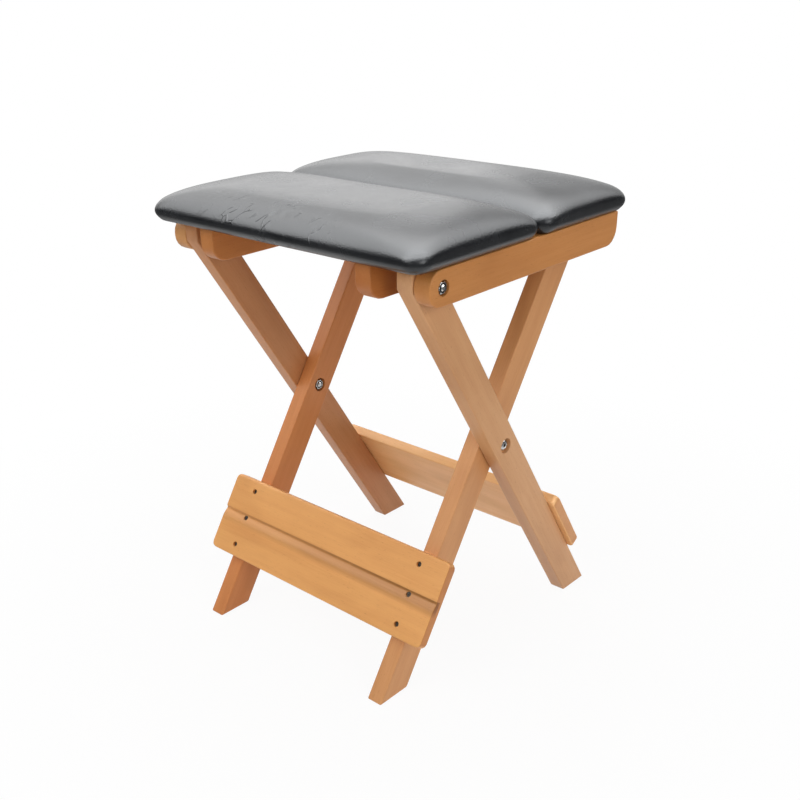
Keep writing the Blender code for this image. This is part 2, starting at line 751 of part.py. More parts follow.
def build():
    clear_scene()
    materials = make_materials()
    beech, steel, dark = materials["beech"], materials["steel"], materials["dark_steel"]

    origin = Vector((0, 0, 0))
    crossing_at = Vector((0, 0, crossing_height))
    front_pivot_at = Vector((0, -half_spacing, pivot_height))
    rear_pivot_at = Vector((0, half_spacing, pivot_height))
    inner_axis = add_axis("inner_legs_axis", crossing_at)
    rear_axis = add_axis("rear_seat_axis", front_pivot_at)
    front_axis = add_axis("front_seat_axis", rear_pivot_at)

    for side_name in sides:
        add_leg("outer_leg", side_name, None, beech)
        add_leg("inner_leg", side_name, inner_axis, beech)
        add_rail("outer_rail", side_name, rear_axis, beech)
        add_rail("inner_rail", side_name, front_axis, beech)

    add_cross_board("front_board", "inner_leg", -lean, False, inner_axis, beech)
    add_cross_board("rear_board", "outer_leg", lean, True, None, beech)
    screw = screw_mesh("board_screw", board_thickness - screw_sunk + fit + screw_into_leg,
                       screw_diameter, screw_head_diameter, screw_head_rim, screw_head_height)
    add_board_screws("front_screw", "inner_leg", -lean, False, inner_axis, screw, dark)
    add_board_screws("rear_screw", "outer_leg", lean, True, None, screw, dark)

    hardware = (bolt_mesh(bolt_grip()), washer_mesh(), nut_mesh())
    for side_name, side in sides.items():
        add_pivot_set(f"crossing_{side_name}", side, (0, crossing_height),
                      outer_face("outer_leg"), inner_face("inner_leg"), hardware, steel,
                      ((None, origin), (inner_axis, crossing_at)))
        add_pivot_set(f"front_pivot_{side_name}", side, (-half_spacing, pivot_height),
                      inner_face("outer_leg"), outer_face("outer_rail"), hardware, steel,
                      ((None, origin), (rear_axis, front_pivot_at)))
        add_pivot_set(f"rear_pivot_{side_name}", side, (half_spacing, pivot_height),
                      outer_face("inner_leg"), inner_face("inner_rail"), hardware, steel,
                      ((inner_axis, crossing_at), (front_axis, rear_pivot_at)))

    seat_screw = screw_mesh("seat_screw", seat_screw_length(), seat_screw_diameter,
                            seat_screw_head_diameter, seat_screw_head_height, seat_screw_head_height)
    add_seat_half("rear", "outer_rail", rear_axis, front_pivot_at, seat_screw, materials)
    add_seat_half("front", "inner_rail", front_axis, rear_pivot_at, seat_screw, materials)


build()
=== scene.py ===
"""Looks of a folding beech stool whose padded seat is split into two halves."""

from math import atan2, cos, pi, radians, sin, sqrt

import bmesh
import bpy
import numpy as np
from mathutils import Matrix, Vector


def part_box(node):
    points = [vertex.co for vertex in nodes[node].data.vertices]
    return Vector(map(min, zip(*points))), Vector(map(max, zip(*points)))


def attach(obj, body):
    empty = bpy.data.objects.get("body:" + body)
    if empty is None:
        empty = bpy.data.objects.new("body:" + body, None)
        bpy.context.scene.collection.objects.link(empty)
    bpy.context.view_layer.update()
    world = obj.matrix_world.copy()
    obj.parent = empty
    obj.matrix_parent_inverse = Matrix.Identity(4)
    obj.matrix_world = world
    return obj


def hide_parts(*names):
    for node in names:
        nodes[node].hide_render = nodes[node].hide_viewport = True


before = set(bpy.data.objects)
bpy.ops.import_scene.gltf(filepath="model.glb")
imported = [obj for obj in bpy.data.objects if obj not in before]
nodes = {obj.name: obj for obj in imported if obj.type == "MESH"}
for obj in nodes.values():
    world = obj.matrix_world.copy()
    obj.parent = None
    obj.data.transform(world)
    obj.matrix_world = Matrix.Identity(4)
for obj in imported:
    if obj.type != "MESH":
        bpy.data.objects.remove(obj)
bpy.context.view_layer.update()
scene = bpy.context.scene

# Places taken from the model
LEAN = radians(33.08)                # legs from upright
CROSSING = Vector((0, 0, 0.2305))    # middle between the crossing bolts

# Camera, fitted to the photograph's perspective
CAMERA_PLACE = (0.69609, -0.79057, 0.67050)
CAMERA_AZIMUTH, CAMERA_PITCH, CAMERA_ROLL = radians(43.611), radians(25.697), radians(-1.401)
CAMERA_LENS, CAMERA_SENSOR = 47.37, 36
CAMERA_SHIFT = (0.0541, 0.0814)


def add_camera():
    azimuth, pitch, roll = CAMERA_AZIMUTH, CAMERA_PITCH, CAMERA_ROLL
    right = Vector((cos(azimuth), sin(azimuth), 0))
    ahead = Vector((-sin(azimuth) * cos(pitch), cos(azimuth) * cos(pitch), -sin(pitch)))
    up = right.cross(ahead)
    x_axis = right * cos(roll) + up * sin(roll)
    y_axis = up * cos(roll) - right * sin(roll)
    data = bpy.data.cameras.new("camera")
    data.sensor_width = CAMERA_SENSOR
    data.lens = CAMERA_LENS
    data.shift_x, data.shift_y = CAMERA_SHIFT
    data.clip_end = 60
    camera = bpy.data.objects.new("camera", data)
    scene.collection.objects.link(camera)
    turn = Matrix((x_axis, y_axis, -ahead)).transposed().to_4x4()
    camera.matrix_world = Matrix.Translation(CAMERA_PLACE) @ turn
    scene.camera = camera


# Nodes of a material or of the world
class Nodes:
    """Builds node by node round the shader that a new material or world starts with."""

    def __init__(self, owner, **values):
        owner.use_nodes = True
        self.owner = owner
        self.tree = owner.node_tree
        self.shader = next(node for node in self.tree.nodes
                           if node.type in ("BSDF_PRINCIPLED", "BACKGROUND"))
        self.set(**values)

    def coordinates(self, kind="Object"):
        return self.add("ShaderNodeTexCoord").outputs[kind]

    def add(self, kind, **settings):
        node = self.tree.nodes.new(kind)
        for key, value in settings.items():
            setattr(node, key, value)
        return node

    def set(self, **values):
        """Values of the shader's own sockets, by their names with spaces as underscores."""
        for key, value in values.items():
            self.shader.inputs[key.replace("_", " ")].default_value = value

    def link(self, output, to):
        self.tree.links.new(output, self.shader.inputs[to] if isinstance(to, str) else to)

    def mapping(self, scale=(1, 1, 1), turn=(0, 0, 0), shift=(0, 0, 0), source=None):
        node = self.add("ShaderNodeMapping")
        node.inputs["Scale"].default_value = scale
        node.inputs["Rotation"].default_value = turn
        node.inputs["Location"].default_value = shift
        self.link(source or self.coordinates(), node.inputs["Vector"])
        return node.outputs["Vector"]

    def noise(self, vector, scale, detail=3.0, roughness=0.5, distortion=0.0):
        node = self.add("ShaderNodeTexNoise")
        for key, value in (("Scale", scale), ("Detail", detail), ("Roughness", roughness),
                           ("Distortion", distortion)):
            node.inputs[key].default_value = value
        self.link(vector, node.inputs["Vector"])
        return node.outputs["Fac"]

    def noise_colour(self, vector, scale):
        node = self.add("ShaderNodeTexNoise")
        node.inputs["Scale"].default_value = scale
        self.link(vector, node.inputs["Vector"])
        return node.outputs["Color"]

    def voronoi(self, vector, scale, feature):
        node = self.add("ShaderNodeTexVoronoi", feature=feature)
        node.inputs["Scale"].default_value = scale
        self.link(vector, node.inputs["Vector"])
        return node.outputs["Distance"]

    def ramp(self, value, *stops):
        """Colour ramp of (place, colour) stops; a colour may be one number."""
        node = self.add("ShaderNodeValToRGB")
        elements = node.color_ramp.elements
        while len(elements) < len(stops):
            elements.new(1.0)
        for element, (at, colour) in zip(elements, stops):
            plain = isinstance(colour, float)
            element.position = at
            element.color = (colour, colour, colour, 1) if plain else (*colour, 1)
        self.link(value, node.inputs["Fac"])
        return node.outputs["Color"]

    def mix(self, first, second, factor, blend="MIX", number=False):
        """Mix of two colours, or of two numbers."""
        if number:
            node = self.add("ShaderNodeMix", data_type="FLOAT")
            one, other, result = 2, 3, 0
        else:
            node = self.add("ShaderNodeMix", data_type="RGBA", blend_type=blend)
            one, other, result = 6, 7, 2
        for value, place in ((factor, 0), (first, one), (second, other)):
            if isinstance(value, bpy.types.NodeSocket):
                self.link(value, node.inputs[place])
            else:
                plain = isinstance(value, (int, float))
                node.inputs[place].default_value = value if plain else (*value, 1)
        return node.outputs[result]

    def toned(self, colour, tone, share):
        """A colour multiplied by a tone, as far as the share says."""
        return self.mix(colour, tone, share, "MULTIPLY")

    def maths(self, operation, *values):
        node = self.add("ShaderNodeMath", operation=operation)
        for value, socket in zip(values, node.inputs):
            if isinstance(value, bpy.types.NodeSocket):
                self.link(value, socket)
            else:
                socket.default_value = value
        return node.outputs[0]

    def split(self, vector):
        node = self.add("ShaderNodeSeparateXYZ")
        self.link(vector, node.inputs[0])
        return node.outputs["X"], node.outputs["Y"], node.outputs["Z"]

    def spot(self, middle, size):
        """1 in the middle of an egg-shaped region, 0 from its edge on."""
        node = self.add("ShaderNodeTexGradient", gradient_type="SPHERICAL")
        shift = [-at / wide for at, wide in zip(middle, size)]
        self.link(self.mapping([1 / wide for wide in size], shift=shift), node.inputs["Vector"])
        return node.outputs["Fac"]

    def bump(self, height, distance, strength=1.0, below=None):
        node = self.add("ShaderNodeBump")
        node.inputs["Distance"].default_value = distance
        node.inputs["Strength"].default_value = strength
        self.link(height, node.inputs["Height"])
        if below:
            self.link(below, node.inputs["Normal"])
        return node.outputs["Normal"]


# Beech: tones that multiply a piece's own colour, and the painted shade of the front board's groove
LATE_WOOD = (0.88, 0.80, 0.72)
FIBRES = (0.92, 0.86, 0.80)
FLECKS = (0.55, 0.42, 0.34)
END_GRAIN = (0.74, 0.60, 0.52)
# painted shade: darkens the front board's groove below its sharp edge
GROOVE_PAINTED_SHADE = (0.44, 0.38, 0.26)
PLAIN = (1.0, 1.0, 1.0)
GROOVE_EDGE = 0.167       # along the legs from the crossing to the groove's sharp edge
GROOVE_FADE = 0.017       # from that edge to where the painted shade ends


def beech(name, turn, seed, colour, groove_shaded, dark_ends):
    """Lacquered beech whose grain runs along the turned X axis."""
    wood = Nodes(bpy.data.materials.new(name), Coat_Weight=0.10, Coat_Roughness=0.25,
                 Specular_IOR_Level=0.30)
    along = wood.mapping(turn=turn, shift=(seed * 1.7, seed * 0.9, seed * 1.3))
    patches = wood.noise(wood.mapping((9, 26, 26), source=along), 1.0, 2.0, 0.5, 0.4)
    years = wood.noise(wood.mapping((3.0, 85, 85), source=along), 1.0, 4.0, 0.6, 0.25)
    fibres = wood.noise(wood.mapping((28, 900, 900), source=along), 1.0, 2.0, 0.6)
    flecks = wood.noise(wood.mapping((190, 1500, 1500), source=along), 1.0, 1.0, 0.4)

    base = wood.ramp(patches, (0.25, shade(colour, 0.88, 0.84, 0.80)), (0.50, colour),
                     (0.78, shade(colour, 1.06, 1.08, 1.12)))
    ringed = wood.toned(base, wood.ramp(years, (0.35, LATE_WOOD), (0.60, PLAIN)), 0.40)
    fibred = wood.toned(ringed, wood.ramp(fibres, (0.30, FIBRES), (0.62, PLAIN)), 0.5)
    final = wood.mix(fibred, shade(colour, *FLECKS), wood.ramp(flecks, (0.69, 0.0), (0.75, 0.4)))
    if groove_shaded:
        # painted shade in the front board's groove
        final = wood.toned(final, GROOVE_PAINTED_SHADE, groove_painted_shade(wood))
    if dark_ends:
        final = wood.toned(final, END_GRAIN, end_grain(wood, turn))
    wood.link(final, "Base Color")
    wood.link(wood.ramp(years, (0.30, 0.50), (0.70, 0.40)), "Roughness")
    wood.link(wood.bump(wood.mix(fibres, years, 0.35), 0.00012, 0.7), "Normal")
    return wood.owner


def shade(colour, red, green, blue):
    return (colour[0] * red, colour[1] * green, colour[2] * blue)


def end_grain(wood, turn):
    """How far a face looks along the turned X axis, where the cut fibres show darker."""
    facing = wood.split(wood.mapping(turn=turn, source=wood.coordinates("Normal")))[0]
    return wood.ramp(wood.maths("ABSOLUTE", facing), (0.75, 0.0), (0.95, 1.0))


def groove_painted_shade(wood):
    """Mask of painted shade in the groove: 1 just below its sharp edge on the grooved face, fading
    down and to the left.
    """
    x, y, z = wood.split(wood.mapping(turn=(LEAN, 0, 0), source=wood.mapping(shift=-CROSSING)))
    down = wood.maths("DIVIDE", wood.maths("SUBTRACT", -GROOVE_EDGE, z), GROOVE_FADE)
    band = wood.ramp(down, (0.0, 0.0), (0.03, 1.0), (0.60, 0.85), (1.0, 0.0))
    along = wood.ramp(wood.maths("MULTIPLY_ADD", x, 3.2, 0.5), (0.05, 0.35), (0.75, 1.0))
    grooved_face = wood.ramp(wood.maths("MULTIPLY", wood.maths("ABSOLUTE", y), 10.0),
                             (0.215, 0.0), (0.235, 1.0))
    return wood.maths("MULTIPLY", wood.maths("MULTIPLY", band, along), grooved_face)


def plywood():
    """Raw birch plywood: pale plies on its edges, long figure on its face."""
    ply_pitch = 0.0026
    ply = Nodes(bpy.data.materials.new("plywood"), Specular_IOR_Level=0.25)
    figure = ply.noise(ply.mapping((6, 40, 40)), 1.0, 4.0, 0.55, 0.8)
    fibres = ply.noise(ply.mapping((60, 900, 900)), 1.0, 2.0, 0.6)
    height = ply.split(ply.coordinates())[2]
    layers = ply.maths("SINE", ply.maths("MULTIPLY", height, 2 * pi / ply_pitch))
    face = ply.ramp(figure, (0.30, (0.46, 0.30, 0.16)), (0.70, (0.62, 0.44, 0.26)))
    plies = ply.mix(face, (0.36, 0.21, 0.10), ply.ramp(layers, (0.55, 0.0), (0.95, 0.6)))
    combed = ply.ramp(fibres, (0.3, (0.82, 0.78, 0.72)), (0.6, PLAIN))
    ply.link(ply.toned(plies, combed, 0.7), "Base Color")
    ply.link(ply.ramp(fibres, (0.2, 0.75), (0.8, 0.6)), "Roughness")
    ply.link(ply.bump(fibres, 0.0002, 0.7), "Normal")
    return ply.owner


# Leatherette: depths of its grain, and the slopes with creases as (middle, size)
PEBBLES_DEEP, PORES_DEEP, CREASES_DEEP = 0.00022, 0.00005, 0.00045
CREASED_SLOPES = (((-0.020, -0.150, 0.463), (0.110, 0.034, 0.03)),
                  ((0.10, 0.150, 0.463), (0.07, 0.03, 0.03)))


def leatherette():
    """Black leatherette with a fine pebbled grain, a soft sheen and stretch creases."""
    # the blue in the sheen's tint is painted light: it colours the reflected light blue
    hide = Nodes(bpy.data.materials.new("leatherette"), Specular_IOR_Level=0.45,
                 Specular_Tint=(0.955, 0.98, 1.0, 1.0))
    pebbles = hide.voronoi(hide.mapping(), 720.0, "SMOOTH_F1")
    pores = hide.noise(hide.mapping(), 2600.0, 2.0, 0.6)
    patches = hide.noise(hide.mapping(), 26.0, 3.0, 0.5)
    hide.link(hide.mix((0.0085, 0.0092, 0.0105), (0.016, 0.017, 0.019),
                       hide.ramp(patches, (0.3, 0.0), (0.7, 1.0))), "Base Color")
    hide.link(hide.ramp(patches, (0.3, 0.22), (0.7, 0.29)), "Roughness")

    # Thin creases that run down the slopes where the leather is pulled
    bent = hide.mix(hide.mapping(turn=(0, 0, -0.9)), hide.noise_colour(hide.mapping(), 45.0),
                    0.012, "ADD")
    cracks = hide.voronoi(hide.mapping((30, 105, 50), source=bent), 1.0, "DISTANCE_TO_EDGE")
    lines = hide.ramp(cracks, (0.0, 1.0), (0.035, 0.0))
    slopes = hide.maths("MAXIMUM", *(hide.spot(*slope) for slope in CREASED_SLOPES))
    pulled = hide.maths("MULTIPLY", lines, hide.ramp(slopes, (0.0, 0.0), (0.4, 1.0)))
    broken = hide.ramp(hide.noise(hide.mapping(), 55.0, 2.0, 0.5), (0.50, 0.0), (0.58, 1.0))

    grain = hide.bump(pebbles, PEBBLES_DEEP, 0.6)
    creased = hide.bump(hide.maths("MULTIPLY", pulled, broken), CREASES_DEEP, below=grain)
    hide.link(hide.bump(pores, PORES_DEEP, 0.4, below=creased), "Normal")
    return hide.owner


def steel():
    """Bright plated steel with faint turning marks."""
    plate = Nodes(bpy.data.materials.new("steel"), Metallic=1.0)
    marks = plate.noise(plate.mapping((200, 3200, 3200)), 1.0, 2.0, 0.5)
    spots = plate.noise(plate.mapping(), 420.0, 3.0, 0.6)
    plate.link(plate.mix((0.56, 0.56, 0.55), (0.36, 0.36, 0.36),
                         plate.ramp(spots, (0.45, 0.0), (0.75, 1.0))), "Base Color")
    plate.link(plate.ramp(marks, (0.3, 0.14), (0.7, 0.26)), "Roughness")
    plate.link(plate.bump(marks, 0.00002, 0.5), "Normal")
    return plate.owner


def dark_steel():
    """Dark screw steel whose darkness is painted shade: on the screws deep in their holes and in
    the bolts' sockets.
    """
    plate = Nodes(bpy.data.materials.new("dark_steel"), Metallic=0.85)
    spots = plate.noise(plate.mapping(), 900.0, 3.0, 0.6)
    plate.link(plate.mix((0.030, 0.024, 0.019), (0.085, 0.070, 0.055),
                         plate.ramp(spots, (0.4, 0.0), (0.7, 1.0))), "Base Color")
    plate.link(plate.ramp(spots, (0.3, 0.38), (0.7, 0.55)), "Roughness")
    plate.link(plate.bump(spots, 0.00004, 0.5), "Normal")
    return plate.owner


# Pieces
def add_piece(name, bm, material, body, slot, *stands_for, sharp=35, second=None):
    """Makes a finished piece from a bmesh, riding on a body in place of CAD nodes."""
    bmesh.ops.recalc_face_normals(bm, faces=bm.faces)
    mesh = bpy.data.meshes.new(name)
    bm.to_mesh(mesh)
    bm.free()
    mesh.shade_smooth()
    mesh.set_sharp_from_angle(angle=radians(sharp))
    mesh.materials.append(material)
    if second:
        mesh.materials.append(second)
    piece = bpy.data.objects.new(name, mesh)
    scene.collection.objects.link(piece)
    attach(piece, body)
    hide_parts(*stands_for)
    return piece


# Wooden pieces keep the model's shape; each gets its own cut of beech, with its own tone. The tones
# are partly the timber's own and partly painted light: the rear board is painted lighter, and the
# left outer leg and the inner rails darker as painted shade
ACROSS, ALONG_RAIL = (0, 0, 0), (0, 0, -pi / 2)
ALONG_OUTER_LEG, ALONG_INNER_LEG = (-LEAN, pi / 2, 0), (LEAN, pi / 2, 0)
# darker, as painted shade on its shaded inner face
WOOD = (("outer_leg_left", ALONG_OUTER_LEG, (0.54, 0.245, 0.100)),
        ("outer_leg_right", ALONG_OUTER_LEG, (0.63, 0.335, 0.155)),
        ("inner_leg_left", ALONG_INNER_LEG, (0.575, 0.220, 0.068)),
        ("inner_leg_right", ALONG_INNER_LEG, (0.63, 0.305, 0.122)),
        ("outer_rail_left", ALONG_RAIL, (0.60, 0.29, 0.105)),
        ("outer_rail_right", ALONG_RAIL, (0.56, 0.235, 0.066)),
        # the inner rails darker, as painted shade on their shaded sides
        ("inner_rail_left", ALONG_RAIL, (0.52, 0.200, 0.052)),
        ("inner_rail_right", ALONG_RAIL, (0.44, 0.150, 0.035)),
        ("front_board", ACROSS, (0.75, 0.365, 0.117)),
        # lighter, as painted light on a face that the lamps leave in shade
        ("rear_board", ACROSS, (0.88, 0.51, 0.225)))


def finish_wood():
    for seed, (name, turn, colour) in enumerate(WOOD, start=1):
        finish_node(name, beech("beech_" + name, turn, seed, colour,
                                groove_shaded=name == "front_board", dark_ends=turn == ACROSS))
    board_finish = plywood()
    for half in ("front", "rear"):
        finish_node(half + "_seat_board", board_finish)


def finish_node(name, material):
    """Material and smooth shading that keeps the sharper edges, on a CAD node."""
    node = nodes[name]
    node.data.shade_smooth()
    weld = node.modifiers.new("joined", "WELD")
    weld.merge_threshold = 0.00001
    split = node.modifiers.new("sharp", "EDGE_SPLIT")
    split.split_angle = radians(50)
    node.modifiers.new("even", "WEIGHTED_NORMAL")
    node.material_slots[0].material = material


# Cushions
ON_RAILS = 0.4403                 # where the covers rest on the rails
WIDEST = 0.4501                   # height of the covers' widest line
RISE = 0.0256                     # from the widest line to the crown, before the leather is puffed
BOARD_TOP = 0.4509
HALF_WIDTH = 0.1675               # on the rails
DEPTHS = {"front": (-0.1605, 0.0045), "rear": (0.0165, 0.1525)}
BULGE = 0.0080                    # outer sides beyond the edge on the rails
SPLIT_BULGE = 0.0048              # the same where the halves face each other
CORNER = 0.011                    # corner radius on the rails
DRAW_IN = 0.0015                  # sides pulled in between the corners
ENDS, SIDES = (5, 3), (3.3, 1.95)  # power and root of the crown's profile across and along
CORNER_ROWS = 12                  # rows of the mesh round a corner
COLUMNS, ROWS = 72, 39            # squares from the middle to the edge
HEM, RECESS = 0.007, 0.0010       # width of the hem, and of its step up round the seat board
# Loops below the widest line as (share of the bulge, inset, height): side, hem, board's recess
SIDE_LOOPS = tuple((sin(step * pi / 8), 0.0, ON_RAILS + (WIDEST - ON_RAILS) * step / 4)
                   for step in (3, 2, 1, 0))
HEM_LOOPS = ((0, HEM, ON_RAILS), (0, HEM, ON_RAILS + RECESS),
             (0, RECESS, ON_RAILS + RECESS), (0, RECESS, BOARD_TOP))
LOOPS = ((1.0, 0.0, WIDEST),) + SIDE_LOOPS + HEM_LOOPS

# The puffing of the leather
PUFF_FRAMES = 20
PUFF_CAP = 0.0015                 # no point moves further
FIRST_HELD_LOOP = 3               # loops from here down are held
HELD_SPLIT_ROWS = 2               # rows held beside the split, and the edge itself


def cushion_size(half, bulge, inset):
    """Half width, half depth, corner radius and middle of a cushion's outline."""
    low, high = DEPTHS[half]
    outer, inner = (low, high) if half == "front" else (high, low)
    away = -1 if half == "front" else 1
    outer += away * (BULGE * bulge - inset)
    inner -= away * (SPLIT_BULGE * bulge - inset)
    return (HALF_WIDTH + BULGE * bulge - inset, abs(outer - inner) / 2,
            CORNER + BULGE * bulge - inset, (outer + inner) / 2)


def profile(share, power, root):
    return max(0.0, 1 - abs(share) ** power) ** (1 / root)


def edge_rows(half_size, radius, power, root):
    """Distances from the edge that walk the crown's profile in equal steps."""
    depth = radius * np.linspace(0, 1, 400) ** 3
    rise = RISE * (1 - (1 - depth / half_size) ** power) ** (1 / root)
    walked = np.append(0, np.cumsum(np.hypot(np.diff(depth), np.diff(rise))))
    return np.interp(np.linspace(0, walked[-1], CORNER_ROWS + 1), walked, depth)


def corner_place(from_end, from_side, half_x, half_y, radius, end_rows, side_rows):
    """Place in a corner, where the rows run round it as arcs."""
    ring = min(from_end, from_side)
    turns = 2 * (CORNER_ROWS - ring)
    if from_end == ring:
        along = (CORNER_ROWS - from_side) / turns
    else:
        along = 1 - (CORNER_ROWS - from_end) / turns
    reach = radius - (end_rows[ring] * (1 - along) + side_rows[ring] * along)
    return (half_x - radius + reach * cos(along * pi / 2),
            half_y - radius + reach * sin(along * pi / 2))


def straight_place(count, from_edge, squares, half_size, radius, rows):
    """Distance from the middle across a side, with even squares between the corners."""
    if from_edge < CORNER_ROWS:
        return half_size - rows[from_edge]
    return (half_size - radius) * abs(count) / (squares - CORNER_ROWS)


def crown_height(x, y, half_x, half_y, radius):
    """Rise of the crown; each profile runs out at the rounded outline."""
    cut_x, cut_y = (radius - sqrt(max(0.0, radius ** 2 - max(0.0, at - side + radius) ** 2))
                    for at, side in ((y, half_y), (x, half_x)))
    end, side = profile(x / (half_x - cut_x), *ENDS), profile(y / (half_y - cut_y), *SIDES)
    return RISE * end * side / (end + side - end * side)


def cushion_place(column, row, loop, half, end_rows, side_rows):
    """Place on a cushion for a point of the grid, loop by loop below its widest line."""
    bulge, inset, height = LOOPS[loop]
    half_x, half_y, radius, middle = cushion_size(half, bulge, inset)
    from_end, from_side = COLUMNS - abs(column), ROWS - abs(row)
    if from_end < CORNER_ROWS and from_side < CORNER_ROWS:
        x, y = corner_place(from_end, from_side, half_x, half_y, radius, end_rows, side_rows)
    else:
        x = straight_place(column, from_end, COLUMNS, half_x, radius, end_rows)
        y = straight_place(row, from_side, ROWS, half_y, radius, side_rows)
    if loop == 0 and min(from_end, from_side) > 0:
        height += crown_height(x, y, half_x, half_y, radius)
    u, v = x / half_x, y / half_y
    x -= DRAW_IN * bulge * (1 - v * v) * u ** 7
    y -= DRAW_IN * bulge * (1 - u * u) * v ** 7
    return Vector((x if column > 0 else -x, middle + (y if row > 0 else -y), height))


def set_order(bm):
    """Sorts edges and faces by their corners, so that the simulation runs alike each time."""
    bm.verts.index_update()
    count = len(bm.verts)

    def place(item):
        first, second, *others = sorted(vert.index for vert in item.verts)
        return (first * count + second) * count + (others[0] if others else 0)

    bm.edges.sort(key=place)
    bm.faces.sort(key=place)


def add_cushion(half, material):
    """Padded half of the seat: a crowned form with its hem turned in below the seat board."""
    bm = bmesh.new()
    bmesh.ops.create_grid(bm, x_segments=2 * COLUMNS, y_segments=2 * ROWS, size=1)
    rim = [edge for edge in bm.edges if edge.is_boundary]
    for _ in LOOPS[1:]:
        grown = bmesh.ops.extrude_edge_only(bm, edges=rim)["geom"]
        fresh = {item for item in grown if isinstance(item, bmesh.types.BMVert)}
        bmesh.ops.translate(bm, verts=list(fresh), vec=(0, 0, -1))
        rim = [item for item in grown
               if isinstance(item, bmesh.types.BMEdge) and set(item.verts) <= fresh]
    bmesh.ops.contextual_create(bm, geom=rim)
    hidden = [face for face in bm.faces if len(face.verts) > 4]

    half_x, half_y, radius, _ = cushion_size(half, 1, 0)
    end_rows = edge_rows(half_x, radius, *ENDS)
    side_rows = edge_rows(half_y, radius, *SIDES)
    bm.verts.index_update()
    split_side = 1 if half == "front" else -1
    held = []
    for vert in bm.verts:
        column, row = round(vert.co.x * COLUMNS), round(vert.co.y * ROWS)
        loop = round(-vert.co.z)
        vert.co = cushion_place(column, row, loop, half, end_rows, side_rows)
        if loop >= FIRST_HELD_LOOP or row * split_side >= ROWS - HELD_SPLIT_ROWS:
            held.append(vert.index)
    bmesh.ops.triangulate(bm, faces=hidden, ngon_method="BEAUTY")
    set_order(bm)
    piece = add_piece(half + "_cushion", bm, material, half + "_seat", "leatherette",
                      half + "_cover", half + "_foam", sharp=60)
    puff(piece, held)
    finer = piece.modifiers.new("finer", "SUBSURF")
    finer.levels = finer.render_levels = 1


def puff(piece, held):
    """Blows the leather up from inside as cloth."""
    piece.vertex_groups.new(name="held").add(held, 1.0, "REPLACE")
    cloth = piece.modifiers.new("leather", "CLOTH")
    settings = cloth.settings
    settings.quality = 4
    settings.mass = 0.4
    settings.tension_stiffness = 40
    settings.compression_stiffness = 40
    settings.bending_stiffness = 15
    settings.use_pressure = True
    settings.uniform_pressure_force = 4
    settings.vertex_group_mass = "held"
    settings.effector_weights.gravity = 0
    cloth.point_cache.frame_start, cloth.point_cache.frame_end = 1, PUFF_FRAMES
    for step in range(1, PUFF_FRAMES + 1):
        scene.frame_set(step)
    graph = bpy.context.evaluated_depsgraph_get()
    moved = [vert.co.copy() for vert in piece.evaluated_get(graph).data.vertices]
    piece.modifiers.remove(cloth)
    for vert, place in zip(piece.data.vertices, moved):
        shift = place - vert.co
        vert.co += shift * min(1.0, PUFF_CAP / max(shift.length, 1e-9))
    scene.frame_set(1)


# Hardware, each made about Z with the end that shows on top, and then put in its node's place
BOLT_HALF = 0.01772               # half the bolt's length over all
# Bolt's head from the middle out: socket as (flats, below the top), dome as (radius, below)
SOCKET = ((0.0036, 0.0021), (0.0040, 0.0019), (0.0040, 0.0002), (0.0044, 0.0))
DOME = ((0.0034, 0.00005), (0.0044, 0.0004), (0.0052, 0.0010), (0.0056, 0.0016),
        (0.00575, 0.0022), (0.00575, 0.0032), (0.0056, 0.0034), (0.0030, 0.0034))
SOCKET_SHADE = 0.0022              # radius and depth of the painted shade inside the head's socket
# Screws: radii of the head and shank, height of the rim, neck below the head's top, length
BOARD_SCREW = {"head": 0.0027, "shank": 0.0018, "rim": 0.0006, "neck": 0.0026, "length": 0.0259}
SEAT_SCREW = {"head": 0.0038, "shank": 0.0020, "rim": 0.0025, "neck": 0.0025, "length": 0.0336}


def round_loop(radius):
    return lambda angle: radius


def hexagon_loop(flats, rim=1.0):
    """Hexagon with its corners at the sides, cut off at the rim's radius."""
    return lambda angle: min(rim, flats / 2 / cos((angle + pi / 6) % (pi / 3) - pi / 6))


def cross_loop(arm, width):
    """Outline of a cross recess."""
    def radius(angle):
        c, s = max(abs(cos(angle)), 1e-6), max(abs(sin(angle)), 1e-6)
        return max(min(arm / c, width / s), min(width / c, arm / s))
    return radius


def loft(loops, ring=False, segments=48):
    """Skin through loops about Z; a ring joins the last loop to the first, else both ends close."""
    bm = bmesh.new()
    rims = []
    for radius, height in loops:
        made = bmesh.ops.create_circle(bm, segments=segments, radius=1)["verts"]
        for vert in made:
            angle = atan2(vert.co.y, vert.co.x)
            vert.co = Vector((cos(angle), sin(angle), 0)) * radius(angle) + Vector((0, 0, height))
        rims.append(list({edge for vert in made for edge in vert.link_edges}))
    for one, other in zip(rims, rims[1:] + rims[:1] if ring else rims[1:]):
        bmesh.ops.bridge_loops(bm, edges=one + other)
    if not ring:
        bmesh.ops.contextual_create(bm, geom=rims[0])
        bmesh.ops.contextual_create(bm, geom=rims[-1])
    return bm


def ridges(radius, depth, top, bottom, pitch):
    """Loops of a thread's ridges from the top down to the bottom."""
    count = int((top - bottom) / pitch)
    return [(round_loop(radius - depth * (step % 2)), top - step * pitch / 2)
            for step in range(2 * count)]


def pivot_bolt():
    """Button-head bolt with a hexagon socket."""
    top, end = BOLT_HALF, -BOLT_HALF
    head = [(hexagon_loop(flats), top - below) for flats, below in SOCKET]
    head += [(round_loop(radius), top - below) for radius, below in DOME]
    thread = ridges(0.0030, 0.00035, end + 0.0115, end + 0.0010, 0.0010)
    bm = loft(head + thread + [(round_loop(0.0029), end + 0.0009), (round_loop(0.0020), end)])
    for face in bm.faces:
        middle = face.calc_center_median()
        inside = middle.z > top - SOCKET_SHADE and middle.xy.length < SOCKET_SHADE
        # faces in the socket take the dark steel as painted shade
        face.material_index = int(inside)
    return bm


